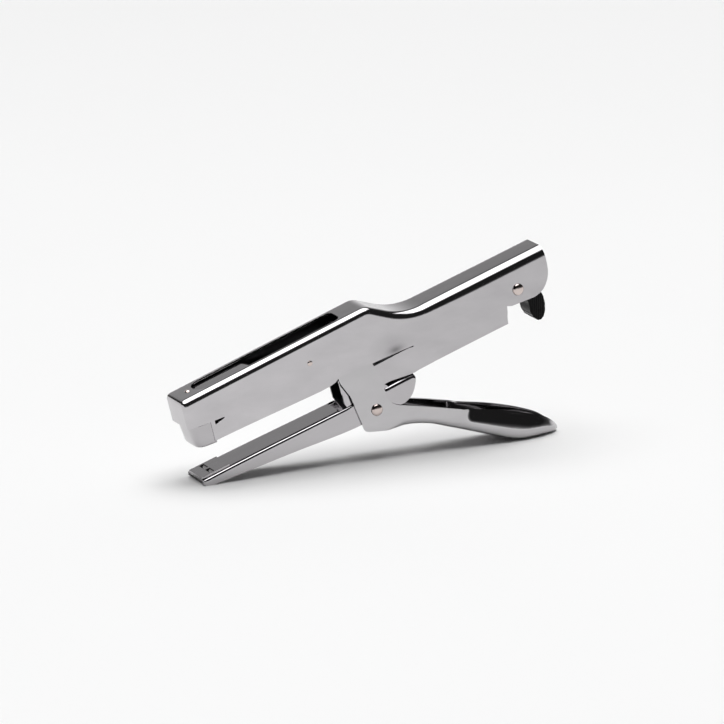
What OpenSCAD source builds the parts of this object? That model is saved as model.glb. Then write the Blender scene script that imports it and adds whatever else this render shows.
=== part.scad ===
/* [Upper body] */
// Outside width of the pressed upper body, mm
body_w = 17.3; // [15:0.1:20]
// Sheet thickness of the pressed parts, mm
sheet_t = 0.8; // [0.6:0.05:1.0]
// Corner radius along the top edges of the upper body, mm
edge_r = 2.8; // [1.5:0.1:3.5]
// Height of the body's top at the nose, above the track line, mm
nose_h = 20.9; // [20:0.1:22]
// Rise of the head's top toward the peak, degrees
head_rise = 5.2; // [4.5:0.1:6]
// Half width of the loading window in the head's top, mm
window_half_w = 4.6; // [3.5:0.1:5.2]
// Lean of the whole tool as it stands on its two feet, degrees
stand_tilt = 14.5; // [13:0.1:16]

/* [Staples] */
// Outside width across a staple's crown, mm
staple_w = 11.6; // [11:0.1:11.7]
// Height of a staple from crown to leg tips, mm
staple_h = 6.35; // [6:0.05:6.4]
// Wire thickness of a staple, mm
staple_wire = 0.55; // [0.45:0.05:0.6]
// Number of staples in the strip
staple_n = 60; // [20:1:62]

/* [Anvil arm] */
// Outside width of the anvil arm at its tip, mm
arm_tip_w = 15.3; // [14:0.1:16]
// Outside width of the anvil arm at the pivot, mm
arm_w = 13.6; // [13.4:0.05:13.62]
// Thickness of the anvil plate, mm
anvil_t = 0.8; // [0.6:0.1:1]

/* [Lower handle] */
// Outside width of the grip at its widest, mm
grip_w = 17.3; // [16:0.1:18]
// Outside width across the handle's cheeks, mm
cheek_w = 15.46; // [15.4:0.02:15.5]

/* [Rivets] */
// Diameter of the large rivet heads, mm
rivet_head_d = 5.0; // [4.5:0.1:5.4]
// Diameter of the main pivot rivet's shank, mm
rivet_d = 4.0; // [3.5:0.1:4.2]

/* [Latch] */
// Width of the magazine latch, mm
latch_w = 9.6; // [8:0.1:11]

/* [Hidden] */
$fn = 48;

// Shift that puts the middle of the overall length at X = 0
mid_x = 76.3;
// Origin of the body's own frame, at the foot of the nose
nose_at = [-6.5, 16.0];
// Tilt of the staple track inside the body
track_tilt = 3;
// Pivot of the lower handle on the anvil arm
main_at = [76.2, 22.0];

half_w = body_w / 2;
inner_half_w = half_w - sheet_t;
over = 0.01;
side_gap = 0.12;
// Offset that keeps the folded top's faces off the flat walls' faces
seam = 0.02;
fit = 0.05;
arm_half_w = arm_w / 2;
arm_tip_half_w = arm_tip_w / 2;
ear_half_w = arm_half_w - sheet_t - side_gap;
cheek_half_w = cheek_w / 2;
cheek_t = 0.8;

// Straight line of the head's top: height at u
function head_top(u) = nose_h + tan(head_rise) * u;
handle_rise = 4.6;
function handle_top(u) = 24.4 + tan(handle_rise) * (u - 170);
dip_fall = 31;
// Corner where the head's top line meets the falling line behind the peak
peak_u = 87.9;
peak_v = head_top(peak_u);
// Corner where the falling line meets the handle's top line
dip_u = (peak_v + tan(dip_fall) * peak_u - 24.4 + tan(handle_rise) * 170)
  / (tan(dip_fall) + tan(handle_rise));
dip_v = handle_top(dip_u);
body_end_u = 170;
peak_r = 7;
dip_r = 28;
peak_turn = head_rise + dip_fall;
dip_turn = dip_fall + handle_rise;
peak_run = peak_r * tan(peak_turn / 2);
dip_run = dip_r * tan(dip_turn / 2);
cap_h = 4.2;

// Places a part drawn in the body's frame: u along the head, v up
module in_body() {
  translate([nose_at[0] - mid_x, 0, nose_at[1]])
    rotate([0, -stand_tilt, 0])
      children();
}

// Places a part drawn in the staple track's frame
module in_track() {
  in_body()
    rotate([0, -track_tilt, 0])
      children();
}

// Places a part drawn upright as the tool stands
module in_stand() {
  translate([-mid_x, 0, 0])
    children();
}

// Side outline given a width across the tool, centred
module across(w) {
  rotate([90, 0, 0])
    linear_extrude(w, center = true)
      children();
}

// Side outline given a width, from y0 toward +Y
module slab(y0, w) {
  translate([0, y0 + w, 0])
    rotate([90, 0, 0])
      linear_extrude(w)
        children();
}

// Round bar along Y
module bar(r, w) {
  rotate([90, 0, 0])
    cylinder(r = r, h = w, center = true);
}

// Round bar along Y with a bore
module ring(r, bore, w) {
  rotate([90, 0, 0])
    difference() {
      cylinder(r = r, h = w, center = true);
      cylinder(r = bore, h = w + 2, center = true);
    }
}

// Low dome with its flat face at y = 0, bulging toward +Y
module dome(d, h) {
  ball_r = (d * d / 4 + h * h) / (2 * h);
  rotate([-90, 0, 0])
    intersection() {
      translate([0, 0, h - ball_r])
        sphere(r = ball_r);
      cylinder(r = d, h = h + 1);
    }
}

// Points along an arc
function arc(cx, cy, r, from, to, n) =
  [for (i = [0 : n]) [cx + r * cos(from + (to - from) * i / n),
    cy + r * sin(from + (to - from) * i / n)]];
corner_n = 5;

// Folded cross-section of the body's top, y up from the top face
module cap_section() {
  c = half_w - edge_r;
  inner_r = edge_r - sheet_t - 2 * seam;
  polygon(concat(
    [[half_w, -cap_h]],
    arc(c, -edge_r, edge_r, 0, 90, corner_n),
    arc(-c, -edge_r, edge_r, 90, 180, corner_n),
    [[-half_w, -cap_h], [-c - inner_r, -cap_h]],
    arc(-c, -edge_r, inner_r, 180, 90, corner_n),
    arc(c, -edge_r, inner_r, 90, 0, corner_n),
    [[c + inner_r, -cap_h]]
  ));
}

// Straight run of the folded top from one point, at an angle
module cap_run(u, v, angle, from, len) {
  translate([u, 0, v])
    rotate([0, -angle, 0])
      translate([from, 0, 0])
        rotate([90, 0, 90])
          linear_extrude(len)
            cap_section();
}

// Curved run of the folded top about a cross axis
module cap_bend(u, v, r, start, turn, up) {
  translate([u, 0, v])
    rotate([90, 0, 0])
      rotate([0, 0, start])
        rotate_extrude(angle = turn, $fn = 96)
          translate([r, 0])
            rotate(up * 90)
              cap_section();
}

module body_top() {
  head_len = peak_u / cos(head_rise) - peak_run;
  fall_len = (peak_v - dip_v) / sin(dip_fall) - peak_run - dip_run;
  tail_len = (body_end_u - dip_u) / cos(handle_rise) - dip_run;
  // Foot of the peak bend on the head line
  bend_u = peak_u - peak_run * cos(head_rise);
  bend_v = peak_v - peak_run * sin(head_rise);
  // Foot of the dip bend on the handle line
  low_u = dip_u + dip_run * cos(handle_rise);
  low_v = dip_v + dip_run * sin(handle_rise);
  cap_run(0, nose_h, head_rise, 0, head_len);
  cap_bend(bend_u + peak_r * sin(head_rise), bend_v - peak_r * cos(head_rise),
    peak_r, 90 - dip_fall, peak_turn, -1);
  cap_run(peak_u, peak_v, -dip_fall, peak_run, fall_len);
  cap_bend(low_u - dip_r * sin(handle_rise), low_v + dip_r * cos(handle_rise),
    dip_r, 270 - dip_fall, dip_turn, 1);
  cap_run(dip_u, dip_v, handle_rise, dip_run, tail_len);
}

// Flat side wall at full width, from the nose to the rear end
wall_outline = [
  [0, 17.4], [0, 9], [1.4, 8.4], [2.6, -0.8], [8.8, -0.2], [9.8, 0.3],
  [26, 1.2], [59, 2.6], [65, 3.2], [67.2, 3.9], [68.6, 4.9], [84.4, 5.2],
  [101, 5.6], [104, 5.6], [104, -4.4], [113.7, -4], [147, -1.7], [147.4, 1.4],
  [148, 3.4], [150.4, 5], [161.4, 5.1], [165.6, 6.6], [168.3, 9.7], [170, 13.1],
  [170, 21.2], [114, 16.7], [108, 16.9], [103, 17.8], [97, 20.2], [92, 23.0],
  [89.5, 24.6], [86, 25.3]
];

// Pressed-in apron and ear below the slit
ear_outline = [
  [68.8, 4.3], [69.2, -8], [73, -16], [78, -19.2], [84, -19.2], [87, -16],
  [88.4, -5.4], [101.7, -4.6], [106, -4.4], [106, 5.0], [101, 4.7], [84.4, 3.9]
];

module body_walls() {
  for (s = [0, 1])
    mirror([0, s, 0]) {
      slab(inner_half_w - seam, sheet_t)
        polygon(wall_outline);
      difference() {
        intersection() {
          slab(ear_half_w - 2, 6)
            polygon(ear_outline);
          translate([0, 0, -25])
            linear_extrude(40)
              polygon([
                [68, ear_half_w], [91.5, ear_half_w], [103.4, half_w], [107, half_w],
                [107, inner_half_w], [103.6, inner_half_w],
                [91.7, ear_half_w - sheet_t], [68, ear_half_w - sheet_t]
              ]);
        }
        // Slot in which the main rivet rises as the jaws close
        rivet_slot();
      }
    }
}

// Upright slot for the main rivet, wide enough for its bush
module rivet_slot() {
  for (at = [[81.5, -14.9], [80.7, -12.5]])
    translate([at[0], 0, at[1]])
      bar(3.3, 30);
  translate([77.8, -15, -14.9])
    cube([6.6, 30, 2.5]);
}

module upper_body() {
  color("silver")
    in_body()
      difference() {
        intersection() {
          union() {
            body_top();
            body_walls();
            // Front wall folded down from the top
            slab(-inner_half_w - over, 2 * inner_half_w + 2 * over)
              polygon([[0, 19.6], [0, 9], [sheet_t, 8.7], [sheet_t, 20.6]]);
          }
          // Rounded upright corners at the front
          translate([0, 0, -30])
            linear_extrude(70)
              polygon(concat(
                [[180, -half_w - 1], [180, half_w + 1], [nose_r, half_w + 1]],
                arc(nose_r, half_w - nose_r, nose_r, 90, 180, 4),
                arc(nose_r, -half_w + nose_r, nose_r, 180, 270, 4),
                [[nose_r, -half_w - 1]]
              ));
        }
        // Loading window in the head's top
        window_cut();
        // Short relief slit above the foot of the nose
        slab(-half_w - 1, body_w + 2)
          polygon([[11.7, 8.6], [11.7, 6.8], [16.2, 8.2], [16.2, 8.6]]);
        translate([154.7, 0, 11])
          bar(rear_shank_r, body_w + 4);
        translate([57.7, 0, 15.9])
          bar(1.0, body_w + 4);
        translate([6.6, 0, 15])
          cylinder(r = 0.8, h = 10);
      }
}

rear_shank_r = 1.75;
nose_r = 1.6;

module window_cut() {
  window_from = 9.4;
  window_to = 76.6;
  translate([0, 0, nose_h])
    rotate([0, -head_rise, 0])
      translate([0, 0, -3])
        linear_extrude(8)
          polygon([
            [window_from, -1.6], [window_from + 3.4, -window_half_w],
            [window_to - 2.5, -window_half_w], [window_to, -window_half_w + 2.5],
            [window_to, window_half_w - 2.5], [window_to - 2.5, window_half_w],
            [window_from + 3.4, window_half_w], [window_from, 1.6]
          ]);
}

// Front plate behind which the driver blade slides
module nose_guide() {
  color("gainsboro")
    in_body()
      slab(-inner_half_w + 0.2, 2 * inner_half_w - 0.4)
        polygon([[0.9, 17.6], [0.9, 9], [2.4, -0.8], [3.5, -0.8], [3.0, 9], [2.55, 17.6]]);
}

// Heights in the track's frame
floor_v = 1.0;
floor_t = 0.5;
leg_tip_v = 1.8;
crown_v = leg_tip_v + staple_h;
track_from = 4.6;
track_to = 148;
channel_half_w = 6.6;
channel_t = 0.6;
blade_from = 3.6;
blade_t = 0.75;

// Pivot of the driver lever, in the body's frame
driver_at = [93, 17.5];
driver_pin_r = 1.25;

// Sheet channel that carries the staples, with ears for the driver's pivot
module magazine() {
  color("lightgray") {
    in_track()
      difference() {
        translate([track_from, -channel_half_w, floor_v])
          cube([track_to - track_from, 2 * channel_half_w, 7.4]);
        translate([track_from - 1, -channel_half_w + channel_t, floor_v + floor_t])
          cube([track_to - track_from + 2, 2 * (channel_half_w - channel_t), 10]);
      }
    in_body()
      for (s = [0, 1])
        mirror([0, s, 0])
          difference() {
            slab(channel_half_w - channel_t, channel_t)
              polygon([[84, 10], [90, 19.4], [92, 20.4], [94.4, 20.4], [96, 19], [103, 11]]);
            translate([driver_at[0], 0, driver_at[1]])
              bar(driver_pin_r, 30);
          }
  }
}

core_half_w = staple_w / 2 - staple_wire - 0.1;
core_top_v = crown_v - staple_wire - 0.05;
core_t = 0.6;

// Folded rail that the staples straddle, slotted for the pusher's tongue
module core_rail() {
  color("darkgray")
    in_track()
      difference() {
        translate([track_from + 0.1, -core_half_w, floor_v + floor_t])
          cube([track_to - track_from - 0.2, 2 * core_half_w, core_top_v - floor_v - floor_t]);
        translate([track_from - 1, -core_half_w + core_t, floor_v])
          cube([200, 2 * (core_half_w - core_t), core_top_v - floor_v - core_t]);
        translate([52, -1.3, floor_v])
          cube([84, 2.6, 10]);
      }
}

staple_pitch = 0.8;

// Strip of staples glued side by side
module staple_strip() {
  outer_half_w = staple_w / 2;
  strip_len = staple_n * staple_pitch;
  color("lightsteelblue")
    in_track()
      difference() {
        translate([track_from, -outer_half_w, leg_tip_v])
          cube([strip_len, staple_w, staple_h]);
        translate([track_from - 1, -outer_half_w + staple_wire, leg_tip_v - 1])
          cube([strip_len + 2, staple_w - 2 * staple_wire, staple_h + 1 - staple_wire]);
        for (i = [1 : staple_n - 1])
          translate([track_from + i * staple_pitch - 0.06, -outer_half_w - 1, crown_v - 0.15])
            cube([0.12, staple_w + 2, 1]);
      }
}

seat_u = 140;
rod_r = 1.0;
rod_v = 4.3;
spring_wire_r = 0.35;
spring_r = 2.0;
spring_from = 61.6;
spring_turns = 30;

// Block that anchors the guide rod and the pusher spring
module spring_seat() {
  color("dimgray")
    in_track()
      difference() {
        translate([seat_u, -core_half_w + core_t, floor_v + floor_t])
          cube([4, 2 * (core_half_w - core_t), core_top_v - core_t - floor_v - floor_t]);
        translate([seat_u - 1, 0, rod_v])
          rotate([0, 90, 0])
            cylinder(r = rod_r, h = 8);
      }
}

// Guide rod for the pusher spring
module pusher_rod() {
  color("silver")
    in_track()
      translate([53, 0, rod_v])
        rotate([0, 90, 0])
          cylinder(r = rod_r, h = seat_u + 4 - 53);
}

// Follower that presses the strip toward the nose
module pusher() {
  pusher_from = track_from + staple_n * staple_pitch + 0.3;
  color("slategray")
    in_track() {
      difference() {
        translate([pusher_from, -staple_w / 2, leg_tip_v])
          cube([8, staple_w, staple_h]);
        translate([pusher_from - 1, -core_half_w - 0.1, floor_v])
          cube([10, 2 * core_half_w + 0.2, core_top_v + 0.1 - floor_v]);
      }
      // Tongue that reaches through the rail's slot to the spring
      difference() {
        translate([pusher_from + 2, -1.0, 2.2])
          cube([6, 2.0, core_top_v + 0.3 - 2.2]);
        translate([pusher_from, 0, rod_v])
          rotate([0, 90, 0])
            cylinder(r = rod_r + 0.3, h = 12);
      }
      translate([pusher_from + 6, 0, rod_v])
        rotate([0, 90, 0])
          difference() {
            cylinder(r = 2.2, h = 2);
            translate([0, 0, -1])
              cylinder(r = rod_r + 0.3, h = 4);
          }
    }
}

// Open coil of wire about Y with a straight leg leaving its end
module coil_end(r, wr, start, turn, len) {
  end = start + turn;
  rotate([90, 0, 0])
    rotate([0, 0, start])
      rotate_extrude(angle = turn, $fn = 32)
        translate([r, 0])
          circle(r = wr, $fn = 16);
  translate([r * cos(end), 0, r * sin(end)])
    rotate([0, -end, 0])
      cylinder(r = wr, h = len, $fn = 16);
}

// Closed turn of wire about Y
module coil_turn(r, wr) {
  rotate([90, 0, 0])
    rotate_extrude($fn = 32)
      translate([r, 0])
        circle(r = wr, $fn = 16);
}

// Long compression spring on the guide rod
module pusher_spring() {
  pitch = (seat_u - 0.3 - spring_from - 2 * spring_wire_r) / (spring_turns - 1);
  color("gray")
    in_track()
      for (i = [0 : spring_turns - 1])
        translate([spring_from + spring_wire_r + i * pitch, 0, rod_v])
          rotate([0, 90, 0])
            rotate_extrude($fn = 32)
              translate([spring_r - spring_wire_r, 0])
                circle(r = spring_wire_r, $fn = 12);
}

// Rivet through the rear of the handle, on which the latch turns
module rear_rivet() {
  color("tan")
    in_body()
      translate([154.7, 0, 11]) {
        bar(rear_shank_r, body_w + 2 * over);
        for (s = [0, 1])
          mirror([0, s, 0])
            translate([0, half_w, 0])
              dome(rivet_head_d, 1.3);
      }
}

// Two short rivets in the sides of the head, flush with the inside
module head_rivets() {
  color("silver")
    in_body()
      for (s = [0, 1])
        mirror([0, s, 0])
          translate([57.7, half_w, 15.9]) {
            translate([0, (over - sheet_t) / 2, 0])
              bar(1.0, sheet_t + over);
            dome(2.4, 0.4);
          }
}

// Small rivet that holds the nose guide's tab under the head's top
module nose_rivet() {
  color("silver")
    in_body()
      translate([6.6, 0, head_top(6.6)])
        rotate([0, -head_rise, 0]) {
          translate([0, 0, -sheet_t - 0.4])
            cylinder(r = 0.8, h = sheet_t + 0.5);
          rotate([90, 0, 0])
            dome(2.4, 0.5);
        }
}

// Pivot pin of the driver lever
module driver_pin() {
  color("silver")
    in_body()
      translate([driver_at[0], 0, driver_at[1]])
        bar(driver_pin_r, 2 * channel_half_w);
}

// Wire spring that lifts the driver lever back up
module driver_spring() {
  wire_r = 0.32;
  color("gray")
    in_body()
      for (s = [-1, 1])
        translate([driver_at[0], 0, driver_at[1]]) {
          translate([0, s * 4.8, 0])
            coil_turn(1.9, wire_r);
          // Turn whose leg bears under the head's top
          translate([0, s * 5.5, 0])
            coil_end(1.9, wire_r, -230, 275, 11.8);
        }
}

// Sheet lever that drives the blade down
module driver_lever() {
  color("darkgray")
    in_body()
      difference() {
        union() {
          across(8.8)
            polygon([
              [6.4, 17.7], [6.4, 19.3], [30, 21.2], [35, 20.8], [42, 19.4], [55, 19.5],
              [61, 20.3], [66, 20.7], [72, 20.6], [79, 20.2], [93, 20.1], [93, 15],
              [86, 14.6], [80, 14.2], [60, 15.2], [40, 16.2], [20, 17.1]
            ]);
          // Tongue in the blade's window
          across(5)
            polygon([[3.0, 17.9], [3.0, 19.1], [7, 19.3], [7, 17.9]]);
          translate([driver_at[0], 0, driver_at[1]])
            bar(2.6, 8.8);
        }
        translate([driver_at[0], 0, driver_at[1]])
          bar(driver_pin_r + fit, 20);
        // Hollow between the folded flanges
        across(7.2)
          polygon([
            [9, 16], [9, 18.6], [30, 20.2], [35, 19.8], [42, 18.4], [55, 18.5],
            [61, 19.3], [66, 19.7], [72, 19.6], [79, 19.0], [87, 18.9], [87, 12], [60, 12]
          ]);
      }
}

// Thin blade that pushes one staple out
module driver_blade() {
  color("whitesmoke")
    in_track()
      difference() {
        translate([blade_from, -staple_w / 2, crown_v + 0.3])
          cube([blade_t, staple_w, 10.6]);
        translate([blade_from - 1, -2.9, 17.1])
          cube([3, 5.8, 1.9]);
      }
}

arm_outline = [
  [-1.9, 2.4], [65.9, 25.3], [80.2, 30.3], [93.5, 34.6], [94.4, 33.4], [94.5, 31.2],
  [93.6, 27.6], [91.8, 24.8], [89, 22.8], [86, 22.3], [68.5, 15.8], [59.4, 13.3],
  [41.3, 9.3], [14.3, 2.8], [1.4, 0], [-0.6, 0], [-1.6, 0.8]
];

// Lower jaw, a folded channel open below
module anvil_arm() {
  color("silver")
    in_stand()
      difference() {
        intersection() {
          across(30)
            polygon(arm_outline);
          arm_plan(arm_tip_half_w, arm_half_w);
        }
        // Inside of the channel
        intersection() {
          across(30)
            polygon([
              [-4, 0.9], [65.9, 24.4], [80.2, 29.4], [93.2, 33.7], [93.7, 31.5],
              [97, 29], [97, -10], [-4, -10]
            ]);
          arm_plan(arm_tip_half_w - sheet_t, arm_half_w - sheet_t);
        }
        // Opening in the top for the body's ears
        translate([59.5, -arm_half_w + sheet_t, 15])
          cube([30.5, 2 * (arm_half_w - sheet_t), 40]);
        translate([main_at[0], 0, main_at[1]])
          bar(rivet_d / 2, 30);
      }
}

module arm_plan(tip, rear) {
  translate([0, 0, -20])
    linear_extrude(80)
      polygon([
        [-5, -tip], [56, -rear], [110, -rear], [110, rear], [56, rear], [-5, tip]
      ]);
}

// Hardened plate with two pockets that fold the staple's legs
module anvil_plate() {
  arm_rise = 18.66;
  color("lightgray")
    in_stand()
      translate([-1.9, 0, 2.4])
        rotate([0, -arm_rise, 0])
          difference() {
            translate([0, -6.2, 0])
              cube([13, 12.4, anvil_t]);
            for (s = [-1, 1])
              translate([5.4, s * 2.9, anvil_t + 0.9])
                intersection() {
                  rotate([90, 0, 0])
                    cylinder(r = 1.4, h = 4.6, center = true);
                  cube([4, 4.6, 4], center = true);
                }
          }
}

// Main rivet that joins the lower handle to the anvil arm
module main_rivet() {
  color("tan")
    in_stand()
      translate([main_at[0], 0, main_at[1]]) {
        bar(rivet_d / 2, cheek_w + 2 * side_gap + 2 * over);
        for (s = [0, 1])
          mirror([0, s, 0])
            translate([0, cheek_half_w + side_gap, 0])
              dome(rivet_head_d, 1.2);
      }
}

// Bush on the main rivet, between the ears
module spacer_bush() {
  color("gray")
    in_stand()
      translate([main_at[0], 0, main_at[1]])
        ring(rivet_d / 2 + 0.9, rivet_d / 2, 2 * (arm_half_w - sheet_t));
}

// Torsion spring round the bush that opens the handles
module handle_spring() {
  coil_r = 4.0;
  wire_r = 0.65;
  coils = 6;
  pitch = 1.34;
  color("dimgray")
    in_stand()
      translate([main_at[0], 0, main_at[1]]) {
        for (i = [1 : coils - 2])
          translate([0, (i - (coils - 1) / 2) * pitch, 0])
            coil_turn(coil_r, wire_r);
        // Turn whose leg lies along the inside of the anvil arm
        translate([0, -2.5 * pitch, 0])
          coil_end(coil_r, wire_r, -161, 270, 15);
        // Turn whose leg bears on the lower handle's floor
        translate([0, 2.5 * pitch, 0])
          coil_end(coil_r, wire_r, -13, 270, 13);
      }
}

handle_outline = [
  [60.1, 34.7], [64.5, 28.5], [65.6, 25.9], [69.5, 16.8], [71.1, 13.4], [76, 12.7],
  [81.7, 12.6], [86.3, 12.8], [93.2, 13.3], [100.1, 12.7], [109.3, 10.2],
  [123.2, 5.9], [132.5, 2.9], [139, 0.9], [144, 0], [151.3, 0.1], [158, 0.3],
  [162.8, 0.6], [164.4, 1.4], [163.2, 3], [161, 5], [158.5, 6.9], [152, 9.8],
  [143, 12.4], [132.5, 14.6], [116.2, 17], [104.6, 19.3], [95.4, 20.8], [86.5, 22.4], [83, 24], [80.8, 26.6],
  [79.6, 29.8], [78.5, 34.5], [76.6, 38.5], [74.1, 41.8], [70.5, 50], [69.8, 54.5],
  [68.2, 58], [66, 59.5], [62.6, 59.4], [60.2, 57.4], [58.6, 53.5], [58, 50], [58, 44]
];

// Lower handle: two cheeks at the front, an upward-open grip behind
module lower_handle() {
  color("silver")
    in_stand()
      difference() {
        intersection() {
          across(30)
            polygon(handle_outline);
          handle_plan(0);
        }
        intersection() {
          across(30)
            polygon([
              [40, 0], [79.5, 0], [79.5, 13.4], [86.3, 13.6], [93.2, 14.1], [100.1, 13.5],
              [109.3, 11], [123.2, 6.7], [132.5, 3.7], [139, 1.7], [144, 0.8],
              [151.3, 0.9], [158, 1.1], [162.6, 1.4], [166, 2.4], [166, 80], [40, 80]
            ]);
          handle_plan(cheek_t);
        }
        translate([main_at[0], 0, main_at[1]])
          bar(rivet_d / 2 + fit, 30);
        in_squeeze_pin()
          bar(squeeze_pin_r, 30);
      }
}

// Plan outline of the lower handle, drawn in by the wall thickness
module handle_plan(inset) {
  c = cheek_half_w - inset;
  g = grip_w / 2 - inset;
  end = 164.4 - 2 * inset;
  translate([0, 0, -5])
    linear_extrude(90)
      polygon([
        [50, -c], [92, -c], [112, -g], [140, -g], [152, -g + 1.6], [159, -g + 4.2], [end, -0.8],
        [end, 0.8], [159, g - 4.2], [152, g - 1.6], [140, g], [112, g], [92, c], [50, c]
      ]);
}

squeeze_pin_r = 1.0;
roller_r = 2.0;
// Place of the squeeze pin, in the body's frame with the tool at rest
squeeze_at = [78, 22.5];

module in_squeeze_pin() {
  run = squeeze_at[0] * cos(stand_tilt) - squeeze_at[1] * sin(stand_tilt);
  rise = squeeze_at[0] * sin(stand_tilt) + squeeze_at[1] * cos(stand_tilt);
  translate([nose_at[0] + run, 0, nose_at[1] + rise])
    children();
}

// Pin across the tops of the cheeks
module squeeze_pin() {
  color("silver")
    in_stand()
      in_squeeze_pin()
        bar(squeeze_pin_r, cheek_w);
}

// Roller on the squeeze pin that bears on the driver lever
module squeeze_roller() {
  color("gray")
    in_stand()
      in_squeeze_pin()
        ring(roller_r, squeeze_pin_r, 8.4);
}

// Magazine latch under the rear of the handle
module latch() {
  color("black")
    in_body()
      difference() {
        across(latch_w)
          polygon([
            [151.6, 12.5], [151.8, 9.6], [153.2, 7.6], [156.2, 5.4], [156.4, 0.5],
            [157, -1.4], [160.7, -5.2], [162.4, -6.2], [164, -6], [165.2, -5],
            [166.8, -1.6], [166.9, 2], [165.6, 7], [162, 12], [158, 14.4], [154.6, 14.6],
            [152.6, 14]
          ]);
        translate([154.7, 0, 11])
          bar(rear_shank_r + fit, 20);
      }
}

upper_body();
nose_guide();
magazine();
core_rail();
staple_strip();
spring_seat();
pusher_rod();
pusher();
pusher_spring();
rear_rivet();
head_rivets();
nose_rivet();
driver_pin();
driver_spring();
driver_lever();
driver_blade();
anvil_arm();
anvil_plate();
main_rivet();
spacer_bush();
handle_spring();
lower_handle();
squeeze_pin();
squeeze_roller();
latch();
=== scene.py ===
import math
import bpy
import bmesh
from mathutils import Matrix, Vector


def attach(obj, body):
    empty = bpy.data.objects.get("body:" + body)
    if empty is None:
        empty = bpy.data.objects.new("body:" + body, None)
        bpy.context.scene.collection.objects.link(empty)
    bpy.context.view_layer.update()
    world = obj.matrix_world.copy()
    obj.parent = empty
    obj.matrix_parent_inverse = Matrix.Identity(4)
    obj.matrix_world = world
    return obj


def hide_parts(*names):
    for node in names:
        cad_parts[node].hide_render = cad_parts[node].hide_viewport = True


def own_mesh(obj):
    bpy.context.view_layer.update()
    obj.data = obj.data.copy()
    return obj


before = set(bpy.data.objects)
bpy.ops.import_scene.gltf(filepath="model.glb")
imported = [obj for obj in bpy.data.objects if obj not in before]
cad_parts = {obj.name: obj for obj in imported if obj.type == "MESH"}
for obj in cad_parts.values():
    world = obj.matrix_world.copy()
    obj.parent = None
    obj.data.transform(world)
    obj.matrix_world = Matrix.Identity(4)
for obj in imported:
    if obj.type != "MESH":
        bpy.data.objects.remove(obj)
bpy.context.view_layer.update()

# Metres in a millimetre
MM = 0.001
# Shift that puts the middle of the tool's length at X = 0, mm
MID_X = 76.3
# Foot of the nose, where the body's frame and the track's frame start, mm
NOSE_X, NOSE_Z = -6.5, 16.0
# Lean of the upper body, and of the staple track inside it
TILT = math.radians(14.5)
TRACK_TILT = TILT + math.radians(3)
# Half width of the upper body, mm
HALF_W = 8.65
# Thickness of the pressed sheets, and the rounding of their cut edges, mm
SHEET = 0.8
CUT_EDGE = 0.12


def stand(x, y, z):
    """A point of the tool as it stands, in mm along its length, across and up."""
    return Vector(((x - MID_X) * MM, y * MM, z * MM))


def leaning(u, y, v, lean):
    """A point in a frame that leans back from the foot of the nose, in mm."""
    c, s = math.cos(lean), math.sin(lean)
    return stand(NOSE_X + u * c - v * s, y, NOSE_Z + u * s + v * c)


def body(u, y, v):
    """A point in the upper body's own frame, in mm along the head, across and up."""
    return leaning(u, y, v, TILT)


def track(u, v):
    """A point over the middle of the staple track, in mm along it and up from it."""
    return leaning(u, 0, v, TRACK_TILT)


# ---------------------------------------------------------------- meshes
def mesh_object(name, bm, smooth=True):
    """An object made of the bmesh, with its faces turned outward."""
    bmesh.ops.recalc_face_normals(bm, faces=bm.faces)
    me = bpy.data.meshes.new(name)
    bm.to_mesh(me)
    bm.free()
    for p in me.polygons:
        p.use_smooth = smooth
    ob = bpy.data.objects.new(name, me)
    bpy.context.collection.objects.link(ob)
    return ob


def bevel(ob, width, segments=3, angle=35, weights=False):
    """Rounded edges, by their angle or by their own weights. The width is in mm."""
    m = ob.modifiers.new("bevel", "BEVEL")
    m.width = width * MM
    m.segments = segments
    m.limit_method = "WEIGHT" if weights else "ANGLE"
    m.angle_limit = math.radians(angle)
    m.use_clamp_overlap = not weights
    m.miter_outer = "MITER_ARC"
    return m


def solidify(ob, thick=SHEET):
    """A sheet of this thickness in mm, with the skin as its outer face."""
    m = ob.modifiers.new("sheet", "SOLIDIFY")
    m.thickness = thick * MM
    m.offset = -1
    m.use_even_offset = True
    m.use_quality_normals = True
    return m


def weighted(ob):
    """Normals that keep the large faces flat beside their rounded edges."""
    m = ob.modifiers.new("normals", "WEIGHTED_NORMAL")
    m.keep_sharp = False
    m.weight = 80


def frange(a, b, n):
    """n + 1 even steps from a to b."""
    return [a + (b - a) * i / n for i in range(n + 1)]


def smooth_step(x, a, b):
    """0 before a, 1 after b and a smooth rise between them."""
    t = min(max((x - a) / (b - a), 0), 1)
    return t * t * (3 - 2 * t)


# ---------------------------------------------------------------- materials
def node_mat(name):
    """A new material, its node tree and its shader."""
    mat = bpy.data.materials.new(name)
    mat.use_nodes = True
    nt = mat.node_tree
    return mat, nt, nt.nodes["Principled BSDF"]


def coords(nt, scale, turn=(0, 0, 0)):
    """Coordinates fixed to the object, in metres, scaled and turned."""
    tc = nt.nodes.new("ShaderNodeTexCoord")
    mp = nt.nodes.new("ShaderNodeMapping")
    mp.inputs["Scale"].default_value = scale
    mp.inputs["Rotation"].default_value = turn
    nt.links.new(tc.outputs["Object"], mp.inputs["Vector"])
    return mp.outputs["Vector"]


def noise(nt, vec, scale, detail=3, rough=0.55):
    """Noise between 0 and 1 over the coordinates."""
    n = nt.nodes.new("ShaderNodeTexNoise")
    n.inputs["Scale"].default_value = scale
    n.inputs["Detail"].default_value = detail
    n.inputs["Roughness"].default_value = rough
    nt.links.new(vec, n.inputs["Vector"])
    return n.outputs["Fac"]


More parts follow.
